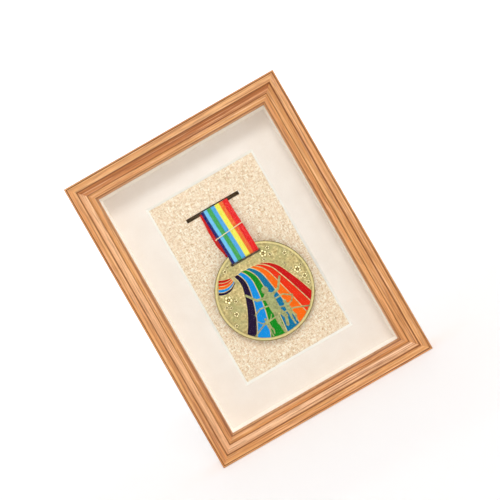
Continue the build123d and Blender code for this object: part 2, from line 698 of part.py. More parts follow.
with BuildPart() as easel_hinge_leg_leaf:
    with BuildSketch(layer(LEG_BACK + LEAF_T)):
        with Locations((0, LEG_TOP_Z)):
            Rectangle(
                LEG_LEAF_W, LEG_TOP_Z - LEG_LEAF_FOOT_Z, align=(Align.CENTER, Align.MAX)
            )
            Rectangle(
                2 * (KNUCKLE_SPLIT - KNUCKLE_SIDE_GAP),
                HINGE_Z - LEG_TOP_Z,
                align=(Align.CENTER, Align.MIN),
            )
    extrude(amount=LEAF_T)
    with BuildSketch(Plane.YZ):
        with Locations((HINGE_Y, HINGE_Z)):
            Circle(KNUCKLE_R)
        with Locations(Location((HINGE_Y, HINGE_Z), -LEG_SWING)):
            with Locations((-TAB_T / 2, TAB_L / 2)):
                Rectangle(TAB_T, TAB_L)
    extrude(amount=KNUCKLE_SPLIT - KNUCKLE_SIDE_GAP, both=True)
    with BuildSketch(Plane.YZ):
        with Locations((HINGE_Y, HINGE_Z)):
            Circle(PIN_R + PIN_GAP)
    extrude(amount=HINGE_W, both=True, mode=Mode.SUBTRACT)
    add(easel_leg_rivets, mode=Mode.SUBTRACT)
save(easel_hinge_leg_leaf.part, "easel_hinge_leg_leaf")

with BuildPart() as easel_leg:
    with BuildSketch(layer(LEG_BACK)):
        with BuildLine():
            Polyline(
                (-LEG_TOP_W / 2, LEG_TOP_Z),
                (LEG_TOP_W / 2, LEG_TOP_Z),
                (LEG_FOOT_W / 2, LEG_FOOT_Z),
                (-LEG_FOOT_W / 2, LEG_FOOT_Z),
                close=True,
            )
        make_face()
    extrude(amount=LEG_T)
    fillet(easel_leg.edges().filter_by(Axis.Y), radius=LEG_CORNER)
    add(easel_leg_rivets, mode=Mode.SUBTRACT)
save(easel_leg.part, "easel_leg")

# ---------------------------------------------------------------- hanger

RING_Y = row_y(MOULDING_DEPTH) + HANGER_OUT
BARREL_GAP = 0.08
BARREL_BORE = WIRE_R + BARREL_GAP
BARREL_R = BARREL_BORE + LEAF_T
STRAP_DROP = 8.5
RING_CORNER = 1.6

with BuildPart() as hanger_strap:
    with BuildSketch(Plane.YZ):
        with Locations((row_y(MOULDING_DEPTH), HANGER_Z)):
            Rectangle(LEAF_T, STRAP_DROP, align=(Align.MIN, Align.MAX))
        with Locations((RING_Y, HANGER_Z)):
            Circle(BARREL_R)
            Circle(BARREL_BORE, mode=Mode.SUBTRACT)
    extrude(amount=STRAP_W / 2, both=True)
    add(hanger_rivet, mode=Mode.SUBTRACT)
save(hanger_strap.part, "hanger_strap")

with BuildPart() as hanger_ring:
    with BuildLine() as half_ring:
        bar_and_side = FilletPolyline(
            (0, RING_Y, HANGER_Z),
            (RING_HALF_W, RING_Y, HANGER_Z),
            (RING_HALF_W, RING_Y, HANGER_Z - RING_DROP + RING_HALF_W),
            radius=RING_CORNER,
        )
        ThreePointArc(
            bar_and_side @ 1,
            (
                RING_HALF_W * cos(radians(45)),
                RING_Y,
                HANGER_Z - RING_DROP + RING_HALF_W * HALF_TURN,
            ),
            (0, RING_Y, HANGER_Z - RING_DROP),
        )
    with BuildSketch(Plane(origin=(0, RING_Y, HANGER_Z), z_dir=(1, 0, 0))):
        Circle(WIRE_R)
    sweep()
    mirror(about=Plane.YZ)
save(hanger_ring.part, "hanger_ring")

# ---------------------------------------------------------------- back panel

with BuildPart() as back_panel:
    with BuildSketch(layer(PANEL_BACK)):
        with Locations((0, CENTRE_Z)):
            Rectangle(INSERT_W, INSERT_H)
    extrude(amount=PANEL_T)
    for rivet_group in (easel_panel_rivets, hanger_rivet):
        add(rivet_group, mode=Mode.SUBTRACT)
save(back_panel.part, "back_panel")

# ---------------------------------------------------------------- turn buttons

BUTTON_PIVOT_END = BUTTON_W / 2  # pivot to the near end
for side, side_name in ((-1, "left"), (1, "right")):
    for height, height_name in zip(BUTTON_HEIGHTS, ("lower", "upper")):
        centre_x = side * (BUTTON_X - BUTTON_L / 2 + BUTTON_PIVOT_END)
        with BuildPart() as turn_button:
            with BuildSketch(layer(MOULDING_DEPTH + RUNNING_GAP + BUTTON_T)):
                with Locations((centre_x, height)):
                    SlotOverall(BUTTON_L, BUTTON_W)
                with Locations((side * BUTTON_X, height)):
                    Circle(SCREW_R + RUNNING_GAP, mode=Mode.SUBTRACT)
            extrude(amount=BUTTON_T)
        save(turn_button.part, f"turn_button_{height_name}_{side_name}")
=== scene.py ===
from math import atan2, cos, pi, radians, sin, tan

import bmesh
import bpy
from mathutils import Matrix, Vector, noise


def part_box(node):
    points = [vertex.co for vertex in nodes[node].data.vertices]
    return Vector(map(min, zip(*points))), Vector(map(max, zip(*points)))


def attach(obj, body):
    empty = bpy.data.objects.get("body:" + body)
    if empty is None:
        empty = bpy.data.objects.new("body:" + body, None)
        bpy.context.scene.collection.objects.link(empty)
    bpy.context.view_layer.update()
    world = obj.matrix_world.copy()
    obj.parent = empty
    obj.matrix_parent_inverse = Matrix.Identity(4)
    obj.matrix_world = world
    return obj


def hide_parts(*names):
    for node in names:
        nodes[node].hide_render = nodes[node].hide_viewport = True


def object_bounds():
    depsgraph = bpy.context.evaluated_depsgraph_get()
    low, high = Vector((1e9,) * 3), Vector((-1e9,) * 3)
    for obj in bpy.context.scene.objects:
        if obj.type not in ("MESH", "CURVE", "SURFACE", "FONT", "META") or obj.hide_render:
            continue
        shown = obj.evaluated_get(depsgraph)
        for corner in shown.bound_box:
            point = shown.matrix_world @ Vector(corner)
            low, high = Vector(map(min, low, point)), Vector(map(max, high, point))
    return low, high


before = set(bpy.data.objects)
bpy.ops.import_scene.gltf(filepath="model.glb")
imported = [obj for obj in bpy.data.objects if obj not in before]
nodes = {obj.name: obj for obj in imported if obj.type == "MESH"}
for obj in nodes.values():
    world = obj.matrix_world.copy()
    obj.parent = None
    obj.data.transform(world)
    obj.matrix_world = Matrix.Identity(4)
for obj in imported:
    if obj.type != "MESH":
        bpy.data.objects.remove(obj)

# A ribboned medal in a shadow-box display frame: the looks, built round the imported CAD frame.
# Metres, in the row frame: +X right and +Z up as seen from the front, +Y towards the back.

MM = 0.001
TINY = 0.01 * MM
cad_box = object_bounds()


# ---------------------------------------------------------------- shader helpers

class Shader:
    """A Principled material, with short calls for the nodes that feed it."""

    def __init__(self, name, **settings):
        self.material = bpy.data.materials.new(name)
        self.material.use_nodes = True
        self.tree = self.material.node_tree
        self.surface = self.tree.nodes["Principled BSDF"]
        self.object_coords = self.node("ShaderNodeTexCoord").outputs["Object"]
        for socket, value in settings.items():
            self.feed(self.surface.inputs[socket.replace("_", " ")], value)

    def node(self, kind, inputs=None, **properties):
        made = self.tree.nodes.new(kind)
        for key, value in properties.items():
            setattr(made, key, value)
        for socket, value in (inputs or {}).items():
            self.feed(made.inputs[socket], value)
        return made

    def feed(self, socket, value):
        """Set a socket to a value, or link it to another socket."""
        if isinstance(value, bpy.types.NodeSocket):
            self.tree.links.new(value, socket)
        else:
            socket.default_value = value

    def scaled(self, scale, location=(0, 0, 0)):
        """Coordinates stretched per axis, in features per metre."""
        inputs = {"Vector": self.object_coords, "Scale": scale, "Location": location}
        return self.node("ShaderNodeMapping", inputs).outputs["Vector"]

    def noise(self, vector, detail=3.0, roughness=0.55, distortion=0.0):
        inputs = {"Vector": vector, "Scale": 1.0, "Detail": detail}
        inputs.update({"Roughness": roughness, "Distortion": distortion})
        return self.node("ShaderNodeTexNoise", inputs).outputs["Fac"]

    def math(self, operation, a, b=0.0, c=0.0):
        return self.node("ShaderNodeMath", {0: a, 1: b, 2: c}, operation=operation).outputs[0]

    def place(self, axis):
        """The object's own coordinate along X, Y or Z."""
        return self.node("ShaderNodeSeparateXYZ", {0: self.object_coords}).outputs[axis]

    def ramp(self, factor, stops):
        """A colour ramp: stops are (position, grey or colour)."""
        made = self.node("ShaderNodeValToRGB", {"Fac": factor})
        elements = made.color_ramp.elements
        while len(elements) < len(stops):
            elements.new(1.0)
        for element, (position, colour) in zip(elements, stops):
            element.position = position
            element.color = (colour,) * 3 + (1,) if isinstance(colour, float) else tuple(colour) + (1,)
        return made.outputs["Color"]

    def mix(self, factor, a, b):
        made = self.node("ShaderNodeMix", data_type="RGBA")
        self.feed(made.inputs[0], factor)
        for index, colour in ((6, a), (7, b)):
            whole = isinstance(colour, bpy.types.NodeSocket)
            self.feed(made.inputs[index], colour if whole else tuple(colour) + (1,))
        return made.outputs[2]

    def bump(self, height, distance, strength=1.0, below=None):
        """A bump whose full height is distance, in metres, laid over an earlier one."""
        inputs = {"Height": height, "Distance": distance, "Strength": strength}
        if below is not None:
            inputs["Normal"] = below
        return self.node("ShaderNodeBump", inputs).outputs["Normal"]

    def finish(self, colour=None, normal=None, roughness=None):
        for socket, value in (("Base Color", colour), ("Normal", normal), ("Roughness", roughness)):
            if value is not None:
                self.feed(self.surface.inputs[socket], value)
        return self.material


def linear(red, green, blue):
    """The linear colour of an sRGB colour in 0 to 255."""
    def one(value):
        share = value / 255
        return share / 12.92 if share <= 0.04045 else ((share + 0.055) / 1.055) ** 2.4
    return one(red), one(green), one(blue)


# ---------------------------------------------------------------- materials

LOW_SPECULAR = 0.12  # dull dyes, papers and enamels behind coated glazing show no veil of light

RAIL_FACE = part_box("frame_rail_bottom")[1].z
MOULDED_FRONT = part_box("frame_rail_bottom")[0].y + 5 * MM  # the moulded part lies in front of this
OAK_TONES = (  # along the tone scale, linear colours
    (0.34, (0.54, 0.185, 0.044)),
    (0.43, (0.70, 0.300, 0.083)),
    (0.50, (0.77, 0.355, 0.108)),
    (0.57, (0.88, 0.462, 0.172)),
    (0.66, (0.67, 0.304, 0.078)),
)
OAK_RED = (0.72, 0.265, 0.074)
OAK_PALE = (1.0, 0.60, 0.33)
OAK_DEEP = (0.36, 0.105, 0.022)
OAK_COVE_SHADE = (0.38, 0.075, 0.002)
OAK_PORE = (0.24, 0.080, 0.022)
OAK_GROOVE_SHADE = (0.20, 0.055, 0.012)
OAK_GRAIN = {  # features per metre along and across the grain, detail, shift of the pattern
    "figure": (5, 330, 3.0, 0),
    "hue": (10, 520, 2.0, 40),
    "streaks": (9, 1250, 2.0, 80),
    "flecks": (28, 1300, 2.0, 200),
    "pores": (60, 2600, 2.0, 120),
    "fibre": (45, 6500, 2.0, 160),
}
EDGE_SHADE = [(0.0, 0.0), (0.008, 0.6), (0.04, 0.0)]  # share of the face, share of painted shade along the outer edge
GROOVES = (  # mm from the outer edge, half width in mm, share of painted shade
    (1.3, 0.45, 0.75),
    (5.9, 0.6, 0.85),
    (10.3, 0.45, 0.72),
    (14.2, 0.6, 0.98),
)
COVE = ((5.8, 0.0), (6.6, 1.0), (9.6, 1.0), (10.4, 0.0))  # mm from the outer edge, share of the cove's painted light and shade


def oak(name, grain, seed, across, edge, inward, cove_shading_colour, cove_shading_share, light):
    """Straight-grained open-pored oak, with painted shade along its outer edge and grooves, and light and
    shade painted per rail on its cove and over its whole face. across is the axis that runs inward from the
    outer edge.
    """
    shader = Shader(name, Roughness=0.48, Coat_Weight=0.10, Coat_Roughness=0.38)

    def grained(layer):
        along, over, detail, shift = OAK_GRAIN[layer]
        scale = tuple(along if axis == grain else over for axis in "XYZ")
        offset = (seed + shift, seed * 1.7, seed * 2.3)
        return shader.noise(shader.scaled(scale, offset), detail, distortion=0.2)

    streaks = grained("streaks")
    flecks = grained("flecks")
    pores = shader.ramp(grained("pores"), [(0.38, 1.0), (0.46, 0.0)])
    tone = shader.math("MULTIPLY_ADD", grained("figure"), 0.6, shader.math("MULTIPLY", streaks, 0.4))
    # Painted shade: each rail's tones are scaled down by its own lightness, most on the top rail, to even out
    # how the key lights the four rails.
    wood = shader.ramp(tone, [(place, tuple(c * light for c in colour)) for place, colour in OAK_TONES])
    wood = shader.mix(shader.ramp(grained("hue"), [(0.50, 0.0), (0.66, 0.55)]), wood, OAK_RED)
    inset = shader.math("MULTIPLY_ADD", shader.place(across), inward, -edge * inward)
    inset = shader.math("DIVIDE", inset, RAIL_FACE)
    front = shader.math("LESS_THAN", shader.place("Y"), MOULDED_FRONT)
    # Painted light and shade on the cove band: a dark shaded tone on the top rail, a pale lit tone on the
    # bottom and left, a faint dark one on the right.
    cove = shader.ramp(inset, [(mm * MM / RAIL_FACE, share) for mm, share in COVE])
    cove = shader.math("MULTIPLY", cove, shader.math("MULTIPLY", front, cove_shading_share))
    wood = shader.mix(cove, wood, cove_shading_colour)
    wood = shader.mix(shader.ramp(flecks, [(0.54, 0.0), (0.66, 0.55)]), wood, OAK_PALE)
    wood = shader.mix(shader.ramp(streaks, [(0.35, 0.80), (0.45, 0.0)]), wood, OAK_DEEP)
    wood = shader.mix(shader.math("MULTIPLY", pores, 0.60), wood, OAK_PORE)
    wood = shader.mix(shader.ramp(grained("fibre"), [(0.3, 0.12), (0.6, 0.0)]), wood, OAK_PORE)
    # Painted shade: darker along the outer edge and down each groove, on the moulded front only.
    stops = list(EDGE_SHADE)
    for centre, half_width, depth in GROOVES:
        for mm, share in ((centre - half_width, 0.0), (centre, depth), (centre + half_width, 0.0)):
            stops.append((min(1.0, mm * MM / RAIL_FACE), share))
    groove_shade = shader.ramp(inset, stops)
    wood = shader.mix(shader.math("MULTIPLY", groove_shade, front), wood, OAK_GROOVE_SHADE)
    relief = shader.bump(streaks, 0.10 * MM, 0.5)
    relief = shader.bump(pores, -0.06 * MM, 0.5, relief)
    return shader.finish(wood, relief)


def paper(name, colour, fleck, roughness=0.85, painted_light=0.0):
    """Board or paper with a faint cloudy tone and a fibre tooth. The glow is emission that paints extra light
    onto the board.
    """
    shader = Shader(
        name, Roughness=roughness, Specular_IOR_Level=LOW_SPECULAR,
        Emission_Color=(*colour, 1), Emission_Strength=painted_light,
    )
    cloud = shader.noise(shader.scaled((90, 90, 90)), detail=4.0)
    tooth = shader.noise(shader.scaled((2600, 2600, 2600)), detail=3.0)
    tone = shader.mix(shader.ramp(cloud, [(0.35, 0.0), (0.65, 1.0)]), colour, fleck)
    tone = shader.mix(shader.ramp(tooth, [(0.3, 0.16), (0.6, 0.0)]), tone, tuple(c * 0.8 for c in colour))
    return shader.finish(tone, shader.bump(tooth, 0.03 * MM, 0.5))


def slub_cloth():
    """Cream slub weave: uneven warp and weft threads that take turns on top, with fine gold flecks."""
    shader = Shader("display_cloth", Roughness=0.8, Sheen_Weight=0.15, Sheen_Roughness=0.5)
    weft = shader.noise(shader.scaled((330, 1, 1700)), detail=3.0, roughness=0.6, distortion=0.5)
    warp = shader.noise(shader.scaled((1700, 1, 330), (9, 0, 4)), detail=3.0, roughness=0.6, distortion=0.5)
    turns = shader.noise(shader.scaled((850, 1, 850), (2, 0, 7)), detail=3.0)
    turns = shader.ramp(turns, [(0.44, 0.0), (0.56, 1.0)])
    weft_share = shader.math("MULTIPLY", weft, shader.math("SUBTRACT", 1.0, turns))
    tone = shader.math("MULTIPLY_ADD", warp, turns, weft_share)
    cloud = shader.noise(shader.scaled((70, 1, 70)), detail=2.0)
    ground = shader.ramp(tone, [
        (0.34, linear(186, 148, 106)),
        (0.44, linear(224, 194, 158)),
        (0.52, linear(245, 224, 196)),
        (0.60, linear(255, 250, 236)),
    ])
    ground = shader.mix(shader.ramp(cloud, [(0.4, 0.0), (0.7, 0.3)]), ground, linear(242, 212, 182))
    flecks = shader.noise(shader.scaled((700, 1, 1100), (3, 5, 7)), detail=2.0)
    ground = shader.mix(shader.ramp(flecks, [(0.60, 0.0), (0.67, 0.55)]), ground, linear(226, 180, 104))
    ground = shader.mix(shader.ramp(flecks, [(0.33, 0.5), (0.40, 0.0)]), ground, linear(250, 206, 182))
    return shader.finish(ground, shader.bump(tone, 0.30 * MM, 0.6))


RIBBON_STRIPES = (  # share of the width, sRGB
    (0.10, (24, 22, 104)),
    (0.12, (112, 196, 246)),
    (0.15, (66, 168, 84)),
    (0.14, (74, 168, 232)),
    (0.17, (248, 240, 84)),
    (0.13, (246, 112, 40)),
    (0.19, (240, 26, 24)),
)
STRIPE_BLUR = 0.012
WARP_THREADS = 64  # across the ribbon
WEFT_PITCH = 0.42 * MM


def ribbon_weave(name, mirrored):
    """Woven stripes along the ribbon. UV X runs 0 to 1 across it, and UV Y along it in metres."""
    shader = Shader(
        name, Roughness=0.55, Specular_IOR_Level=LOW_SPECULAR, Sheen_Weight=0.05, Sheen_Roughness=0.4,
    )
    split = shader.node("ShaderNodeSeparateXYZ", {0: shader.node("ShaderNodeUVMap").outputs["UV"]})
    across = shader.math("SUBTRACT", 1.0, split.outputs["X"]) if mirrored else split.outputs["X"]
    stops = []
    start = 0.0
    for share, colour in RIBBON_STRIPES:
        stops.append((start + STRIPE_BLUR, linear(*colour)))
        start += share
        stops.append((start - STRIPE_BLUR, linear(*colour)))
    colour = shader.ramp(across, stops)
    warp = shader.math("SINE", shader.math("MULTIPLY", split.outputs["X"], 2 * pi * WARP_THREADS))
    weft = shader.math("SINE", shader.math("MULTIPLY", split.outputs["Y"], 2 * pi / WEFT_PITCH))
    weave = shader.math("MULTIPLY_ADD", warp, 0.5, shader.math("MULTIPLY", weft, 0.5))
    streaks = shader.noise(shader.scaled((3500, 3500, 90)), detail=2.0)
    colour = shader.mix(shader.ramp(streaks, [(0.3, 0.22), (0.55, 0.0)]), colour, (0.02, 0.02, 0.03))
    colour = shader.mix(shader.ramp(streaks, [(0.5, 0.0), (0.75, 0.12)]), colour, (1.0, 1.0, 1.0))
    return shader.finish(colour, shader.bump(weave, 0.05 * MM, 0.6))


def spun_thread():
    """Waxed cream thread, with fibres along it."""
    shader = Shader("thread", Roughness=0.6, Sheen_Weight=0.3)
    fibres = shader.noise(shader.scaled((900, 6000, 6000)), detail=3.0)
    tone = shader.ramp(fibres, [(0.3, linear(240, 214, 156)), (0.65, linear(255, 247, 218))])
    return shader.finish(tone, shader.bump(fibres, 0.05 * MM, 0.5))


def antique_gold(centre, rim_inner, radius):
    """Struck gold-coloured metal: a hammered field with olive patina, a bright highlight painted round the
    rim, and painted shade at the rim's foot and along its outer edge.
    """
    shader = Shader("medal_gold", Metallic=0.75)
    hammer = shader.noise(shader.scaled((620, 620, 620)), detail=3.0, roughness=0.6)
    grain = shader.noise(shader.scaled((2300, 2300, 2300)), detail=2.0)
    patina = shader.noise(shader.scaled((120, 120, 120)), detail=4.0)
    tone = shader.ramp(hammer, [
        (0.34, linear(166, 142, 88)),
        (0.46, linear(194, 171, 116)),
        (0.58, linear(212, 190, 132)),
        (0.70, linear(246, 228, 176)),
    ])
    tone = shader.mix(shader.ramp(patina, [(0.44, 0.0), (0.66, 0.6)]), tone, linear(158, 156, 104))
    dx = shader.math("SUBTRACT", shader.place("X"), centre.x)
    dz = shader.math("SUBTRACT", shader.place("Z"), centre.z)
    squares = shader.math("MULTIPLY_ADD", dx, dx, shader.math("MULTIPLY", dz, dz))
    reach = shader.math("DIVIDE", shader.math("SQRT", squares), radius)
    inner = rim_inner / radius
    # Painted highlight: a bright band all round the rim's face.
    tone = shader.mix(
        shader.ramp(reach, [(inner - 0.012, 0.0), (inner + 0.004, 0.75), (0.972, 0.75), (0.985, 0.0)]),
        tone, linear(226, 208, 146),
    )
    # Painted shade: a dark ring on the field at the rim's foot.
    tone = shader.mix(
        shader.ramp(reach, [(inner - 0.05, 0.0), (inner - 0.018, 0.45), (inner - 0.006, 0.0)]),
        tone, linear(104, 94, 48),
    )
    # Painted shade: a dark line along the medal's outer edge.
    tone = shader.mix(shader.ramp(reach, [(0.978, 0.0), (0.992, 0.7)]), tone, linear(112, 100, 46))
    relief = shader.bump(hammer, 0.09 * MM, 0.5)
    relief = shader.bump(grain, 0.03 * MM, 0.4, relief)
    rough = shader.ramp(grain, [(0.3, 0.30), (0.7, 0.48)])
    return shader.finish(tone, relief, rough)


def relief_gold(name, dark, light, metal):
    """Gold of the raised lines and figures, rubbed brighter or left duller than the field."""
    shader = Shader(name, Metallic=metal, Roughness=0.36)
    rub = shader.noise(shader.scaled((900, 900, 900)), detail=3.0)
    tone = shader.ramp(rub, [(0.35, linear(*dark)), (0.6, linear(*light))])
    return shader.finish(tone, shader.bump(rub, 0.04 * MM, 0.4))


def blossom_gold(field_y, top):
    """Gold that is dark with patina in the blossoms' hollows, with a painted highlight that grows brighter up
    to the petals' tops.
    """
    shader = Shader("blossom_gold", Metallic=0.7, Roughness=0.3)
    lift = shader.math("DIVIDE", shader.math("SUBTRACT", field_y, shader.place("Y")), top)
    rub = shader.noise(shader.scaled((1500, 1500, 1500)), detail=2.0)
    lift = shader.math("MULTIPLY_ADD", rub, 0.3, shader.math("SUBTRACT", lift, 0.15))
    # Painted highlight: the higher the gold stands, the brighter it is painted; the hollows are dark with
    # patina.
    tone = shader.ramp(lift, [
        (0.10, linear(70, 50, 18)),
        (0.42, linear(142, 116, 56)),
        (0.66, linear(238, 214, 140)),
        (0.90, linear(255, 244, 196)),
    ])
    return shader.finish(tone, shader.bump(rub, 0.03 * MM, 0.4))


def enamel(name, colour):
    """Soft enamel: glossy, with a faint pooled tone."""
    shader = Shader(name, Roughness=0.3, Specular_IOR_Level=LOW_SPECULAR)
    pool = shader.noise(shader.scaled((260, 260, 260)), detail=3.0)
    tone = shader.mix(shader.ramp(pool, [(0.4, 0.0), (0.7, 0.35)]), colour, tuple(c * 0.72 for c in colour))
    return shader.finish(tone, shader.bump(pool, 0.05 * MM, 0.3))


def fibreboard():
    """Raw MDF: warm brown, with pale and dark fibres."""
    shader = Shader("mdf", Roughness=0.75)
    cloud = shader.noise(shader.scaled((45, 45, 45)), detail=3.0)
    fibres = shader.noise(shader.scaled((900, 900, 2200)), detail=4.0, roughness=0.7)
    tone = shader.ramp(cloud, [(0.3, linear(178, 139, 98)), (0.7, linear(192, 154, 112))])
    tone = shader.mix(shader.ramp(fibres, [(0.35, 0.55), (0.48, 0.0)]), tone, linear(132, 96, 62))
    tone = shader.mix(shader.ramp(fibres, [(0.58, 0.0), (0.72, 0.5)]), tone, linear(222, 190, 150))
    return shader.finish(tone, shader.bump(fibres, 0.05 * MM, 0.5))


def plated(name, colour, roughness):
    """Plated steel with fine rolled scratches."""
    shader = Shader(name, Metallic=1.0)
    scratches = shader.noise(shader.scaled((400, 400, 5200)), detail=3.0)
    spots = shader.noise(shader.scaled((700, 700, 700)), detail=3.0)
    tone = shader.mix(shader.ramp(spots, [(0.4, 0.0), (0.75, 0.4)]), colour, tuple(c * 0.75 for c in colour))
    rough = shader.ramp(scratches, [(0.3, roughness - 0.08), (0.7, roughness + 0.12)])
    return shader.finish(tone, shader.bump(scratches, 0.015 * MM, 0.4), rough)


GLAZING_IOR = 1.09  # far below acrylic's own, for a coating that takes most of the reflection away


def clear_acrylic():
    """Coated glazing: clear head on, with a reflection that grows towards grazing angles."""
    material = bpy.data.materials.new("front_glazing")
    material.use_nodes = True
    tree = material.node_tree
    tree.nodes.clear()
    output = tree.nodes.new("ShaderNodeOutputMaterial")
    blend = tree.nodes.new("ShaderNodeMixShader")
    clear = tree.nodes.new("ShaderNodeBsdfTransparent")
    clear.inputs["Color"].default_value = (0.99, 1.0, 0.995, 1)
    gloss = tree.nodes.new("ShaderNodeBsdfGlossy")
    gloss.inputs["Roughness"].default_value = 0.03
    fresnel = tree.nodes.new("ShaderNodeFresnel")
    fresnel.inputs["IOR"].default_value = GLAZING_IOR
    tree.links.new(fresnel.outputs[0], blend.inputs[0])
    tree.links.new(clear.outputs[0], blend.inputs[1])
    tree.links.new(gloss.outputs[0], blend.inputs[2])
    tree.links.new(blend.outputs[0], output.inputs["Surface"])
    return material


# ---------------------------------------------------------------- mesh helpers

def paint(obj, *materials):
    obj.data.materials.clear()
    for material in materials:
        obj.data.materials.append(material)
    return obj


def made_object(name, bm, material):
    """A smooth object from a bmesh, with its faces turned outward."""
    bmesh.ops.recalc_face_normals(bm, faces=bm.faces)
    mesh = bpy.data.meshes.new(name)
    bm.to_mesh(mesh)
    bm.free()
    mesh.polygons.foreach_set("use_smooth", [True] * len(mesh.polygons))
    obj = bpy.data.objects.new(name, mesh)
    bpy.context.scene.collection.objects.link(obj)
    return paint(obj, material)


def piece(name, bm, body, material, replaces=()):
    """Turn a bmesh into a piece that rides on a body."""
    obj = made_object(name, bm, material)
    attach(obj, body)
    if replaces:
        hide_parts(*replaces)
    return obj


def bridge(bm, near, far):
    """Faces between two closed rings of as many vertices."""
    for k in range(len(near)):
        following = (k + 1) % len(near)
        bm.faces.new((near[k], near[following], far[following], far[k]))


def chord_at(points, i):
    """From the point before to the point after: the way that a path runs at a point."""
    return points[min(i + 1, len(points) - 1)] - points[max(i - 1, 0)]


def frames_along(points):
    """Each point with two axes across the path, which turn no more than the path makes them."""
    side = None
    for i, point in enumerate(points):
        ahead = chord_at(points, i).normalized()
        guess = side if side is not None else ahead.orthogonal()
        side = (guess - ahead * guess.dot(ahead)).normalized()
        yield point, side, ahead.cross(side)


def rounded_path(points, radii, fineness=4):
    """Points along a polyline in a plane, with each inner corner turned by an arc of its radius."""
    path = [Vector(points[0])]
    for before, corner, after, radius in zip(points, points[1:], points[2:], radii):
        corner = Vector(corner)
        back = (Vector(before) - corner).normalized()
        on = (Vector(after) - corner).normalized()
        half = back.angle(on) / 2
        trim = radius / tan(half)
        centre = corner + (back + on).normalized() * (radius / sin(half))
        start = corner + back * trim - centre
        turn = pi - 2 * half
        count = max(2, int(fineness * turn / radians(15)))
        for i in range(count + 1):
            path.append(centre + radius * start.slerp(corner + on * trim - centre, i / count))
    path.append(Vector(points[-1]))
    return path


def resampled(path, step):
    """The same path with points at most a step apart, and their distances along it."""
    points = [path[0]]
    for a, b in zip(path, path[1:]):
        count = max(1, round((b - a).length / step))
        points += [a.lerp(b, i / count) for i in range(1, count + 1)]
    lengths = [0.0]
    for a, b in zip(points, points[1:]):
        lengths.append(lengths[-1] + (b - a).length)
    return points, lengths


def inner_corners(node):
    """The corners of a node's largest hole, from the vertices inside its outline: (x, z) low and high."""
    low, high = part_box(node)
    edge = 1.0 * MM
    inside = [
        v.co for v in nodes[node].data.vertices
        if low.x + edge < v.co.x < high.x - edge and low.z + edge < v.co.z < high.z - edge
        and abs(v.co.y - high.y) < TINY
    ]
    left = min(co.x for co in inside)
    right = max(co.x for co in inside)
    heights = [co.z for co in inside if co.x < left + TINY]
    return (left, min(heights)), (right, max(heights))


# ---------------------------------------------------------------- frame, glazing, spacers and mat

# Node, grain, seed, axis inward, outer edge on that axis, sign inward, colour and share of the light and
# shade painted on the cove, and lightness, a painted shade that darkens each rail by its own amount.
OAK_PARTS = (
    ("frame_rail_top", "X", 1.3, "Z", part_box("frame_rail_top")[1].z, -1, OAK_COVE_SHADE, 0.54, 0.91),
    ("frame_rail_bottom", "X", 4.1, "Z", 0.0, 1, OAK_PALE, 0.90, 0.95),
    ("frame_stile_left", "Z", 7.9, "X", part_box("frame_stile_left")[0].x, 1, OAK_PALE, 0.60, 0.94),
    ("frame_stile_right", "Z", 11.2, "X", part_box("frame_stile_right")[1].x, -1, OAK_DEEP, 0.04, 0.94),
)
for part, *settings in OAK_PARTS:
    paint(nodes[part], oak("oak_" + part, *settings))

paint(nodes["front_glazing"], clear_acrylic())

# Painted light: the spacers glow, each by its own amount, brightest at the bottom and left and dimmest at the
# top.
SPACER_PAINTED_LIGHT = {"top": 0.04, "bottom": 0.22, "left": 0.24, "right": 0.08}
for side, painted_light in SPACER_PAINTED_LIGHT.items():
    spacer_paper = paper("spacer_board_" + side, linear(255, 244, 233), linear(255, 249, 241), painted_light=painted_light)
    paint(nodes["spacer_" + side], spacer_paper)

mat_face = paper("mat_face", linear(243, 231, 221), linear(246, 235, 226))
mat_core = paper("mat_core", linear(255, 250, 242), linear(255, 250, 244))
paint(nodes["mat_board"], mat_face, mat_core)
for polygon in nodes["mat_board"].data.polygons:
    polygon.material_index = 1 if 0.3 < abs(polygon.normal.y) < 0.9 else 0  # the bevel shows the core

# ---------------------------------------------------------------- cloth

CLOTH_STEP = 0.5 * MM
CLOTH_RELIEF = 0.09 * MM
CLOTH_TUCK = 2.2 * MM  # how far the cloth's edges turn into the slot
CLOTH_MARGIN = 3 * MM  # how far the fine grid goes on behind the mat


def lines_between(marks, step):
    """Grid lines through all the marks, at most a step apart."""
    lines = [marks[0]]
    for a, b in zip(marks, marks[1:]):
        count = max(1, round((b - a) / step))
        lines += [a + (b - a) * i / count for i in range(1, count + 1)]
    return lines


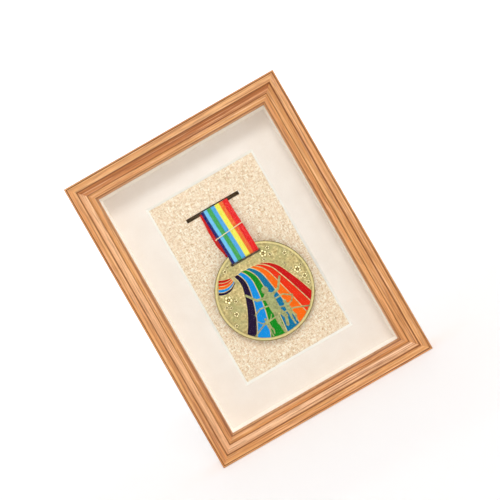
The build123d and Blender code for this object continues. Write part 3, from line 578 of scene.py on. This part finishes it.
def stretched_cloth():
    """The cloth over the board, with slubs in relief and its edges tucked into the slot."""
    low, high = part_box("display_cloth")
    (slot_left, slot_low), (slot_right, slot_high) = inner_corners("display_cloth")
    (window_left, window_low), (window_right, window_high) = inner_corners("mat_board")
    fine_xs = [window_left - CLOTH_MARGIN, slot_left, slot_right, window_right + CLOTH_MARGIN]
    fine_zs = [window_low - CLOTH_MARGIN, slot_low, slot_high, window_high + CLOTH_MARGIN]
    xs = [low.x] + lines_between(fine_xs, CLOTH_STEP) + [high.x]
    zs = [low.z] + lines_between(fine_zs, CLOTH_STEP) + [high.z]

    def sink(x, z):
        slubs = noise.noise(Vector((x * 420, 0, z * 1150)))
        picks = noise.noise(Vector((x * 1000, 5, z * 1000)))
        return CLOTH_RELIEF * (1 + 0.7 * slubs + 0.3 * picks)

    bm = bmesh.new()
    grid = [[bm.verts.new((x, low.y + sink(x, z), z)) for z in zs] for x in xs]
    for i in range(len(xs) - 1):
        for j in range(len(zs) - 1):
            x = (xs[i] + xs[i + 1]) / 2
            z = (zs[j] + zs[j + 1]) / 2
            if slot_left < x < slot_right and slot_low < z < slot_high:
                continue
            bm.faces.new((grid[i][j], grid[i + 1][j], grid[i + 1][j + 1], grid[i][j + 1]))
    loose = [v for v in bm.verts if not v.link_faces]
    bmesh.ops.delete(bm, geom=loose, context="VERTS")
    rim = [
        e for e in bm.edges
        if e.is_boundary and all(
            slot_left - TINY < v.co.x < slot_right + TINY and slot_low - TINY < v.co.z < slot_high + TINY
            for v in e.verts
        )
    ]
    tucked = bmesh.ops.extrude_edge_only(bm, edges=rim)["geom"]
    for v in tucked:
        if isinstance(v, bmesh.types.BMVert):
            v.co.y = low.y + CLOTH_TUCK
    return piece("display_cloth_sheet", bm, "frame", slub_cloth(), ("display_cloth",))


cloth = stretched_cloth()
# Painted shade: the board is near black so that the slot down into it reads as deep shade.
paint(nodes["display_board"], paper("display_board", (0.006, 0.005, 0.004), (0.010, 0.008, 0.006)))

# ---------------------------------------------------------------- ribbon

RIBBON_WIDTH = 19.6 * MM
RIBBON_THICK = 0.42 * MM
SELVEDGE = 0.14 * MM  # extra thickness at the two woven edges
RIBBON_STEP = 0.6 * MM
RIBBON_CELLS = 40
RIBBON_RIPPLE = 0.07 * MM


def strap_mesh(path, centre):
    """A woven strap along a path of (y, z), with a centre that drifts in X and a faint ripple."""
    points, lengths = resampled(path, RIBBON_STEP)
    bm = bmesh.new()
    uv = bm.loops.layers.uv.new("UVMap")
    rows = []
    for i, point in enumerate(points):
        ahead = chord_at(points, i)
        out = Vector((ahead.y, -ahead.x)).normalized()
        row = []
        for j in range(RIBBON_CELLS + 1):
            share = j / RIBBON_CELLS
            side = 2 * share - 1
            x = centre(point.y) + side * RIBBON_WIDTH / 2
            ripple = RIBBON_RIPPLE * noise.noise(Vector((x * 180, point.x * 180, point.y * 140)))
            thick = RIBBON_THICK / 2 + SELVEDGE / 2 * max(0.0, abs(side) * 12 - 11)
            for face in (1, -1):
                shift = out * (ripple + face * thick)
                row.append(bm.verts.new((x, point.x + shift.x, point.y + shift.y)))
        rows.append(row)

    def quad(corners, places):
        face = bm.faces.new(corners)
        for loop, (share, length) in zip(face.loops, places):
            loop[uv].uv = (share, length)

    for i in range(len(rows) - 1):
        near, far = rows[i], rows[i + 1]
        for j in range(RIBBON_CELLS):
            a, b = j / RIBBON_CELLS, (j + 1) / RIBBON_CELLS
            places = ((a, lengths[i]), (b, lengths[i]), (b, lengths[i + 1]), (a, lengths[i + 1]))
            for k in (2 * j, 2 * j + 1):
                quad((near[k], near[k + 2], far[k + 2], far[k]), places)
        for j in (0, RIBBON_CELLS):
            share = j / RIBBON_CELLS
            places = ((share, lengths[i]),) * 2 + ((share, lengths[i + 1]),) * 2
            quad((near[2 * j], near[2 * j + 1], far[2 * j + 1], far[2 * j]), places)
    for i in (0, len(rows) - 1):
        row = rows[i]
        for j in range(RIBBON_CELLS):
            a, b = j / RIBBON_CELLS, (j + 1) / RIBBON_CELLS
            places = ((a, lengths[i]), (a, lengths[i]), (b, lengths[i]), (b, lengths[i]))
            quad((row[2 * j], row[2 * j + 1], row[2 * j + 3], row[2 * j + 2]), places)
    return bm, lengths[-1]


def smooth_step(value, start, end):
    """From 0 at start to 1 at end, level at both."""
    share = min(1.0, max(0.0, (value - start) / (end - start)))
    return share * share * (3 - 2 * share)


front_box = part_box("ribbon_front")
rear_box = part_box("ribbon_rear")
CAD_HALF_T = 0.4 * MM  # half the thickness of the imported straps
front_tail_y = front_box[1].y - CAD_HALF_T
front_loop_y = front_box[0].y + CAD_HALF_T
front_top_z = front_box[1].z - CAD_HALF_T
front_low_z = front_box[0].z + CAD_HALF_T
rear_tail_y = rear_box[1].y - CAD_HALF_T
rear_front_y = rear_box[0].y + CAD_HALF_T
rear_top_z = rear_box[1].z - CAD_HALF_T
medal_low, medal_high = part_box("medal_body")
LOOP_GAP = 0.95 * MM  # from the medal's back to the middle of the strap behind it
loop_back_y = medal_high.y + LOOP_GAP
SLOT_LIP_Y = 5.7 * MM  # where the front strap turns down out of the slot
TAIL_END_Z = 132 * MM
LOOP_TOP_Z = 117 * MM
LOOP_END_Z = 119.5 * MM
FRONT_BEND = 1.4 * MM
HANG_BEND = 20 * MM
REAR_BENDS = [0.6 * MM, 0.8 * MM]
FRONT_ROUTE = [
    (front_tail_y, TAIL_END_Z),
    (front_tail_y, front_top_z),
    (SLOT_LIP_Y, front_top_z),
    (front_loop_y, LOOP_TOP_Z),
    (front_loop_y, front_low_z),
    (loop_back_y, front_low_z),
    (loop_back_y, LOOP_END_Z),
]
REAR_ROUTE = [
    (rear_tail_y, TAIL_END_Z),
    (rear_tail_y, rear_top_z),
    (rear_front_y, rear_top_z),
    (rear_front_y, rear_box[0].z + CAD_HALF_T),
]


def front_centre(z):
    """X of the front strap's middle, which drifts left on its way up."""
    return (2.4 - 1.3 * smooth_step(z, 108 * MM, 147 * MM)) * MM


def rear_centre(z):
    """X of the rear strap's middle, which bows left so that its edge shows."""
    bow = sin(pi * smooth_step(z, 112 * MM, 150 * MM))
    return (1.3 - 1.6 * smooth_step(z, 112 * MM, 124 * MM) - 0.5 * bow) * MM


front_path = rounded_path(FRONT_ROUTE, [FRONT_BEND, FRONT_BEND, HANG_BEND, FRONT_BEND, FRONT_BEND])
bm, front_length = strap_mesh(front_path, front_centre)
ribbon_front = piece(
    "ribbon_front_strap", bm, "frame", ribbon_weave("ribbon_front", False), ("ribbon_front",)
)

bm, rear_length = strap_mesh(rounded_path(REAR_ROUTE, REAR_BENDS), rear_centre)
ribbon_rear = piece(
    "ribbon_rear_strap", bm, "frame", ribbon_weave("ribbon_rear", True), ("ribbon_rear",)
)

paint(nodes["ribbon_tape"], paper("ribbon_tape", linear(224, 205, 160), linear(214, 192, 146)))
thread_material = spun_thread()
paint(nodes["ribbon_seam_stitches"], thread_material)

# ---------------------------------------------------------------- thread across the ribbon

PLY_R = 0.2 * MM
PLY_OFFSET = 0.17 * MM
PLY_PITCH = 2.2 * MM
PLY_STEP = 0.25 * MM
PLY_SIDES = 8
THREAD_R = 0.4 * MM
THREAD_BEND = 1.1 * MM
THREAD_SLANT = 0.35 * MM  # how much further back its right end lies
KNOT_R = 0.9 * MM


def tube(bm, centres, radius):
    """A closed round tube along points."""
    rings = []
    for centre, side, up in frames_along(centres):
        ring = []
        for k in range(PLY_SIDES):
            angle = 2 * pi * k / PLY_SIDES
            ring.append(bm.verts.new(centre + radius * (cos(angle) * side + sin(angle) * up)))
        rings.append(ring)
    for near, far in zip(rings, rings[1:]):
        bridge(bm, near, far)
    bm.faces.new(rings[0])
    bm.faces.new(rings[-1])


def tie_thread():
    """Two twisted plies, held through the board at both ends and knotted behind it."""
    low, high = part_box("ribbon_tie_thread")
    left = Vector((low.x + KNOT_R, high.y - KNOT_R, low.z + KNOT_R))
    right = Vector((high.x - KNOT_R, high.y - KNOT_R, high.z - KNOT_R))
    front = low.y + THREAD_R
    route = [left, Vector((left.x, front, left.z)), Vector((right.x, front + THREAD_SLANT, right.z)), right]
    points, lengths = resampled(rounded_path(route, [THREAD_BEND, THREAD_BEND]), PLY_STEP)
    bm = bmesh.new()
    for ply in range(2):
        strand = []
        for (point, side, up), length in zip(frames_along(points), lengths):
            angle = 2 * pi * (length / PLY_PITCH + ply / 2)
            strand.append(point + PLY_OFFSET * (cos(angle) * side + sin(angle) * up))
        tube(bm, strand, PLY_R)
    for knot in (left, right):
        place = Matrix.Translation(knot)
        bmesh.ops.create_icosphere(bm, subdivisions=3, radius=KNOT_R * 0.95, matrix=place)
    return piece("tie_thread", bm, "frame", thread_material, ("ribbon_tie_thread",))


tie_thread()

# ---------------------------------------------------------------- medal

ENAMELS = {
    "purple": linear(28, 2, 46),
    "azure": linear(0, 142, 224),
    "green": linear(0, 136, 22),
    "teal": linear(0, 112, 158),
    "orange": linear(250, 104, 0),
    "vermilion": linear(236, 44, 0),
    "red": linear(200, 0, 2),
}
bright_relief = relief_gold("bright_relief", (186, 160, 96), (240, 222, 164), 0.8)
worn_gold = relief_gold("worn_relief", (136, 138, 84), (176, 176, 118), 0.45)
# Painted shade: near-black paint for the walls of the medal's slot, standing in for the shade inside it.
slot_shade = paper("slot_painted_shade", (0.012, 0.010, 0.008), (0.020, 0.016, 0.011), 0.6)
for colour_name, colour in ENAMELS.items():
    paint(nodes["enamel_" + colour_name], enamel("enamel_" + colour_name, colour))

MEDAL_R = (medal_high.x - medal_low.x) / 2
MEDAL_X = (medal_high.x + medal_low.x) / 2
MEDAL_Z = (medal_high.z + medal_low.z) / 2
FIELD_Y = medal_low.y + 0.4 * MM
RIM_W = 1.6 * MM
SLOT_REACH = 13 * MM  # the slot's walls lie this near the medal's centre line
SLOT_FLOOR_Z = MEDAL_Z + 22 * MM  # and above this

medal_centre = Vector((MEDAL_X, 0, MEDAL_Z))
paint(nodes["medal_body"], antique_gold(medal_centre, MEDAL_R - RIM_W, MEDAL_R), slot_shade)
# The slot's walls take the painted shade.
for polygon in nodes["medal_body"].data.polygons:
    flank = abs(polygon.normal.y) < 0.3 and (polygon.center - medal_centre).xz.length < MEDAL_R - 2 * RIM_W
    if flank and abs(polygon.center.x - MEDAL_X) < SLOT_REACH and polygon.center.z > SLOT_FLOOR_Z:
        polygon.material_index = 1


def on_medal(x, z, height=0.0):
    """A point on the medal's field: x and z in medal radii, height in metres out of the field."""
    return Vector((MEDAL_X + x * MEDAL_R, FIELD_Y - height, MEDAL_Z + z * MEDAL_R))


SUNK = 0.05 * MM  # how far a relief's edge goes into the metal
BLOSSOM_H = 0.34 * MM
BLOSSOM_SPOKES = 50
PETAL_DENT = 0.48  # how far the outline comes in between petals
BLOSSOM_SECTION = (  # share of the reach, share of the height
    (0.10, 0.8), (0.18, 0.35), (0.26, 0.15), (0.36, 0.45), (0.50, 0.95),
    (0.64, 1.0), (0.80, 0.8), (0.92, 0.4), (1.00, 0.0),
)
BLOSSOMS = (  # x, z and size in medal radii
    (-0.50, 0.72, 0.055), (-0.42, 0.77, 0.035), (-0.60, 0.70, 0.030), (0.34, 0.66, 0.085),
    (0.47, 0.72, 0.050), (0.30, 0.55, 0.045), (0.45, 0.58, 0.050), (0.72, 0.46, 0.055),
    (0.82, 0.36, 0.030), (0.62, 0.28, 0.035), (0.78, 0.05, 0.085), (0.68, 0.13, 0.040),
    (0.88, 0.10, 0.040), (0.84, -0.13, 0.065), (0.76, -0.08, 0.035), (0.84, -0.28, 0.055),
    (-0.72, 0.19, 0.095), (-0.60, 0.10, 0.050), (-0.82, 0.08, 0.045), (-0.75, 0.03, 0.045),
    (-0.72, -0.13, 0.065), (-0.80, -0.05, 0.035), (-0.83, -0.33, 0.050),
)
BLOSSOM_TURN = 1.3  # radians from one blossom to the next


def blossom(bm, x, z, size, turn):
    """A generic five-petalled blossom in relief, as one surface with a hollow round its centre."""
    hub = bm.verts.new(on_medal(x, z, 0.8 * BLOSSOM_H))
    previous = None
    for share, dome in BLOSSOM_SECTION:
        ring = []
        for k in range(BLOSSOM_SPOKES):
            angle = 2 * pi * k / BLOSSOM_SPOKES
            petal = abs(cos(2.5 * angle)) ** 0.6
            reach = size * MEDAL_R * (1 - PETAL_DENT * (1 - petal) * share)
            height = BLOSSOM_H * dome * (0.25 + 0.75 * petal) - (SUNK if dome == 0 else 0)
            direction = Vector((cos(angle + turn), 0, sin(angle + turn)))
            ring.append(bm.verts.new(on_medal(x, z, height) + direction * (reach * share)))
        for k in range(BLOSSOM_SPOKES):
            following = (k + 1) % BLOSSOM_SPOKES
            if previous is None:
                bm.faces.new((hub, ring[k], ring[following]))
            else:
                bm.faces.new((previous[k], ring[k], ring[following], previous[following]))
        previous = ring


def blossom_relief():
    """All the blossoms strewn over the field, each turned a little further than the last."""
    bm = bmesh.new()
    for index, (x, z, size) in enumerate(BLOSSOMS):
        blossom(bm, x, z, size, BLOSSOM_TURN * index)
    return piece("medal_blossoms", bm, "medal", blossom_gold(FIELD_Y, BLOSSOM_H))


blossom_relief()

# The fan's lines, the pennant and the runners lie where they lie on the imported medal, in medal radii from
# its centre and in degrees.
BANDS = len(ENAMELS)
CREST_LEFT = (-0.40, 0.54)
CREST_W = 0.64
CREST_RISE = 0.07
CREST_FALL = 0.10
KNEE_LEFT = (-0.365, 0.24)
KNEE_W = 0.90
KNEE_HEADINGS = (-103.0, -63.0)
FOOT_BEARINGS = (218.0, 231.0, 248.0, 269.0, 288.0, 304.0, 318.0, 331.0)
FOOT_R = (MEDAL_R - 2.2 * MM) / MEDAL_R
CREST_POINTS = 10
FOOT_POINTS = 20
PENNANT_STRIPES = 5
PENNANT_POINTS = 14
PENNANT_ROOT = (-0.46, 0.56)
PENNANT_ROOT_SPREAD = (0.04, -0.13)
PENNANT_TIP = (-0.70, 0.64)
PENNANT_TIP_SPREAD = (-0.15, -0.27)
PENNANT_SAG = (0.015, 0.09)
LIMBS = (  # start, end and width, in shares of the runner's height
    ((0, 0.92), (0, 0.94), 0.13),
    ((0, 0.78), (0, 0.50), 0.19),
    ((-0.10, 0.79), (0.10, 0.79), 0.07),
    ((-0.10, 0.79), (-0.24, 0.83), 0.055),
    ((0.10, 0.79), (0.24, 0.83), 0.055),
    ((-0.24, 0.83), (-0.38, 1.02), 0.045),
    ((0.24, 0.83), (0.38, 1.02), 0.045),
    ((-0.04, 0.48), (-0.06, 0.24), 0.085),
    ((-0.06, 0.24), (-0.05, 0.03), 0.06),
    ((0.04, 0.48), (0.11, 0.29), 0.085),
    ((0.11, 0.29), (0.06, 0.12), 0.06),
)
RUNNER_CAP = 8  # points round a limb's end
# x, foot and height of each runner.
RUNNERS = ((0.01, -0.93, 1.01), (-0.27, -0.88, 0.40), (0.24, -0.88, 0.54))
STREAMERS = (
    ((-0.42, -0.34), (-0.26, -0.27), (-0.08, -0.30), (0.10, -0.24), (0.28, -0.23), (0.44, -0.35)),
    ((-0.68, -0.73), (-0.36, -0.59), (0.0, -0.55), (0.34, -0.58), (0.69, -0.72)),
)
STREAMER_BEND = 0.06
STREAMER_W = 0.8 * MM
STREAMER_H = 0.12 * MM
WIRE_W = 0.5 * MM
WIRE_H = 0.10 * MM
PENNANT_WIRE_W = 0.32 * MM
CREST_LIFT = 0.006  # of the crest's wire above the bands' ends


def arc_from(start, heading, end, count):
    """Points on the circle that leaves start along a heading and reaches end."""
    chord = end - start
    turn = 2 * atan2(heading.x * chord.y - heading.y * chord.x, heading.dot(chord))
    points = []
    for i in range(count + 1):
        share = i / count
        if abs(turn) < 1e-4:
            points.append(start + chord * share)
            continue
        reach = chord.length * sin(turn * share / 2) / sin(turn / 2)
        along = heading.copy()
        along.rotate(Matrix.Rotation(turn * share / 2, 2))
        points.append(start + along * reach)
    return points


def fan_line(index):
    """Points down one line of the fan, from its crest to its foot."""
    share = index / BANDS
    top = Vector((
        CREST_LEFT[0] + share * CREST_W,
        CREST_LEFT[1] + CREST_RISE * share - CREST_FALL * share**2,
    ))
    knee = Vector((KNEE_LEFT[0] + share * KNEE_W, KNEE_LEFT[1]))
    bearing = radians(FOOT_BEARINGS[index])
    foot = FOOT_R * Vector((cos(bearing), sin(bearing)))
    angle = radians(KNEE_HEADINGS[0] + share * (KNEE_HEADINGS[1] - KNEE_HEADINGS[0]))
    heading = Vector((cos(angle), sin(angle)))
    upper = arc_from(knee, -heading, top, CREST_POINTS)
    return upper[::-1] + arc_from(knee, heading, foot, FOOT_POINTS)[1:]


def pennant_line(share):
    """Points along one line of the pennant, from its root to its tip."""
    root = Vector(PENNANT_ROOT) + Vector(PENNANT_ROOT_SPREAD) * share
    tip = Vector(PENNANT_TIP) + Vector(PENNANT_TIP_SPREAD) * share
    sag = PENNANT_SAG[0] + share * (PENNANT_SAG[1] - PENNANT_SAG[0])
    line = []
    for i in range(PENNANT_POINTS + 1):
        along = i / PENNANT_POINTS
        line.append(root.lerp(tip, along) - Vector((0, 4 * sag * along * (1 - along))))
    return line


def ridge(bm, line, width, height):
    """A raised gold wire along a line of points in medal radii."""
    rows = []
    for i, point in enumerate(line):
        ahead = chord_at(line, i).normalized()
        across = Vector((-ahead.y, ahead.x)) * (width / 2 / MEDAL_R)
        row = []
        for offset, lift in ((-1, -SUNK), (-0.6, height * 0.8), (0, height), (0.6, height * 0.8), (1, -SUNK)):
            spot = point + across * offset
            row.append(bm.verts.new(on_medal(spot.x, spot.y, lift)))
        rows.append(row)
    for near, far in zip(rows, rows[1:]):
        for k in range(len(near) - 1):
            bm.faces.new((near[k], near[k + 1], far[k + 1], far[k]))
    bm.faces.new(rows[0])
    bm.faces.new(rows[-1])


def divider_relief():
    """The gold wires between the bands, along the crest and between the pennant's stripes."""
    bm = bmesh.new()
    lines = [fan_line(k) for k in range(BANDS + 1)]
    for line in lines:
        ridge(bm, line, WIRE_W, WIRE_H)
    ridge(bm, [line[0] + Vector((0, CREST_LIFT)) for line in lines], WIRE_W, WIRE_H)
    for k in range(PENNANT_STRIPES + 1):
        ridge(bm, pennant_line(k / PENNANT_STRIPES), PENNANT_WIRE_W, WIRE_H)
    return piece("medal_dividers", bm, "medal", bright_relief)


divider_relief()


def limb(bm, start, end, radius, height):
    """A low rounded bar with domed ends between two points, in medal radii."""
    along = end - start
    length = along.length
    along.normalize()
    across = Vector((-along.y, along.x))
    outline = []
    for centre, first in ((start, pi / 2), (end, -pi / 2)):
        for i in range(RUNNER_CAP + 1):
            angle = first + pi * i / RUNNER_CAP
            outline.append(centre + radius * (cos(angle) * along + sin(angle) * across))
    rings = []
    for share, lift in ((1.0, -SUNK), (0.92, height * 0.5), (0.7, height * 0.88), (0.35, height)):
        ring = []
        for point in outline:
            on_axis = start + along * min(length, max(0.0, (point - start).dot(along)))
            spot = on_axis + (point - on_axis) * share
            ring.append(bm.verts.new(on_medal(spot.x, spot.y, lift)))
        rings.append(ring)
    for near, far in zip(rings, rings[1:]):
        bridge(bm, near, far)
    bm.faces.new(rings[-1])
    bm.faces.new(rings[0])


def runner_relief():
    """Plain figures of runners with raised arms, and streamers, over the lands left in the enamel."""
    bm = bmesh.new()
    for x, foot, height in RUNNERS:
        for start, end, width in LIMBS:
            start = Vector((x + height * start[0], foot + height * start[1]))
            end = Vector((x + height * end[0], foot + height * end[1]))
            limb(bm, start, end, width * height / 2, (0.06 + 1.1 * width * height) * MM)
    for streamer in STREAMERS:
        line = rounded_path(streamer, [STREAMER_BEND] * (len(streamer) - 2), 2)
        ridge(bm, line, STREAMER_W, STREAMER_H)
    return piece("medal_runners", bm, "medal", worn_gold)


runner_relief()

# ---------------------------------------------------------------- back and hardware

mdf = fibreboard()
zinc = plated("zinc", (0.60, 0.61, 0.62), 0.36)
steel = plated("steel", (0.72, 0.72, 0.73), 0.24)
for part in ("back_panel", "easel_leg"):
    paint(nodes[part], mdf)
ZINC_PARTS = [f"turn_button_{height}_{side}" for height in ("lower", "upper") for side in ("left", "right")]
ZINC_PARTS += ["easel_hinge_panel_leaf", "easel_hinge_leg_leaf", "hanger_strap", "hanger_ring"]
for part in ZINC_PARTS:
    paint(nodes[part], zinc)
for part in (
    "turn_button_screws", "easel_hinge_pin", "easel_panel_rivets",
    "easel_leg_rivets", "hanger_rivet", "corner_v_nails",
):
    paint(nodes[part], steel)

# ---------------------------------------------------------------- stage, lights and camera

FIELD_W = 0.31056  # width of the view at the frame's front
SENSOR_W = 36.0
CAMERA_DISTANCE = 0.475
ROLL = radians(29.9)  # the frame leans this far anticlockwise in the picture
OBJECT_DOWN = 0.038  # the object's centre below and left of the picture's, in picture widths
OBJECT_LEFT = 0.0035
WORLD_COLOUR = (1.0, 0.90, 0.79, 1)
WORLD_STRENGTH = 0.40
KEY_TILT = radians(31)  # of the key light from the frame's front normal
KEY_LEAN = radians(12)  # and of its lean to the right of straight up
KEY_DISTANCE = 2.2
KEY_SIZE = 0.8
KEY_POWER = 14.8
KEY_COLOUR = (0.96, 1.0, 1.05)
BACKDROP_SIZE = 1.2
BACKDROP_POWER = 15.0
STAGE_WHITE = (0.88, 0.885, 0.905, 1)
STAGE_GLOW = 0.285
STAGE_FLOOR_R = 2.0
STAGE_SWEEP = 0.9
STAGE_TOP = 2.3
STAGE_SIDES = 96
SWEEP_STEPS = 12


def white_stage():
    """A pale round floor that sweeps up into a wall on every side."""
    shader = Shader("stage", Roughness=0.9, Emission_Color=(1, 1, 1, 1), Emission_Strength=STAGE_GLOW)
    shader.surface.inputs["Base Color"].default_value = STAGE_WHITE
    outline = [(STAGE_FLOOR_R, 0.0)]
    for i in range(1, SWEEP_STEPS + 1):
        angle = pi / 2 * i / SWEEP_STEPS
        outline.append((STAGE_FLOOR_R + STAGE_SWEEP * sin(angle), STAGE_SWEEP * (1 - cos(angle))))
    outline.append((STAGE_FLOOR_R + STAGE_SWEEP, STAGE_TOP))
    turns = [2 * pi * k / STAGE_SIDES for k in range(STAGE_SIDES)]
    bm = bmesh.new()
    rings = []
    for radius, height in outline:
        z = height - 0.05 * MM
        rings.append([bm.verts.new((radius * cos(turn), radius * sin(turn), z)) for turn in turns])
    bm.faces.new(rings[0])
    for near, far in zip(rings, rings[1:]):
        bridge(bm, near, far)
    made_object("stage", bm, shader.material)


def softbox(name, place, target, size, power, colour=(1, 1, 1)):
    """A round area light at a place, turned to a target."""
    data = bpy.data.lights.new(name, "AREA")
    data.color = colour
    data.shape = "DISK"
    data.size = size
    data.energy = power
    lamp = bpy.data.objects.new(name, data)
    lamp.location = place
    lamp.rotation_euler = (Vector(target) - Vector(place)).to_track_quat("-Z", "Y").to_euler()
    bpy.context.scene.collection.objects.link(lamp)


def lights():
    """A warm even world, one soft key from above, and a light for the wall behind."""
    world = bpy.data.worlds.new("studio")
    world.use_nodes = True
    background = world.node_tree.nodes["Background"]
    background.inputs["Color"].default_value = WORLD_COLOUR
    background.inputs["Strength"].default_value = WORLD_STRENGTH
    bpy.context.scene.world = world
    target = Vector((0, 0, 0.1))
    across = sin(KEY_TILT)
    towards = Vector((across * sin(KEY_LEAN), -cos(KEY_TILT), across * cos(KEY_LEAN)))
    softbox("key", target + towards * KEY_DISTANCE, target, KEY_SIZE, KEY_POWER, KEY_COLOUR)
    softbox("backdrop_light", (0, 1.4, 1.9), (0, 2.8, 0.4), BACKDROP_SIZE, BACKDROP_POWER)


def camera():
    """A camera square to the frame, rolled so that the frame leans to the left in the picture."""
    low, high = cad_box
    data = bpy.data.cameras.new("camera")
    data.sensor_width = SENSOR_W
    data.lens = SENSOR_W * CAMERA_DISTANCE / FIELD_W
    data.shift_x = OBJECT_LEFT
    data.shift_y = OBJECT_DOWN
    eye = bpy.data.objects.new("camera", data)
    eye.location = ((low.x + high.x) / 2, low.y - CAMERA_DISTANCE, (low.z + high.z) / 2)
    up = Vector((sin(ROLL), 0, cos(ROLL)))
    back = Vector((0, -1, 0))
    right = up.cross(back)
    eye.rotation_euler = Matrix((right, up, back)).transposed().to_euler()
    bpy.context.scene.collection.objects.link(eye)
    bpy.context.scene.camera = eye


white_stage()
lights()
camera()
bpy.context.scene.view_settings.view_transform = "Standard"
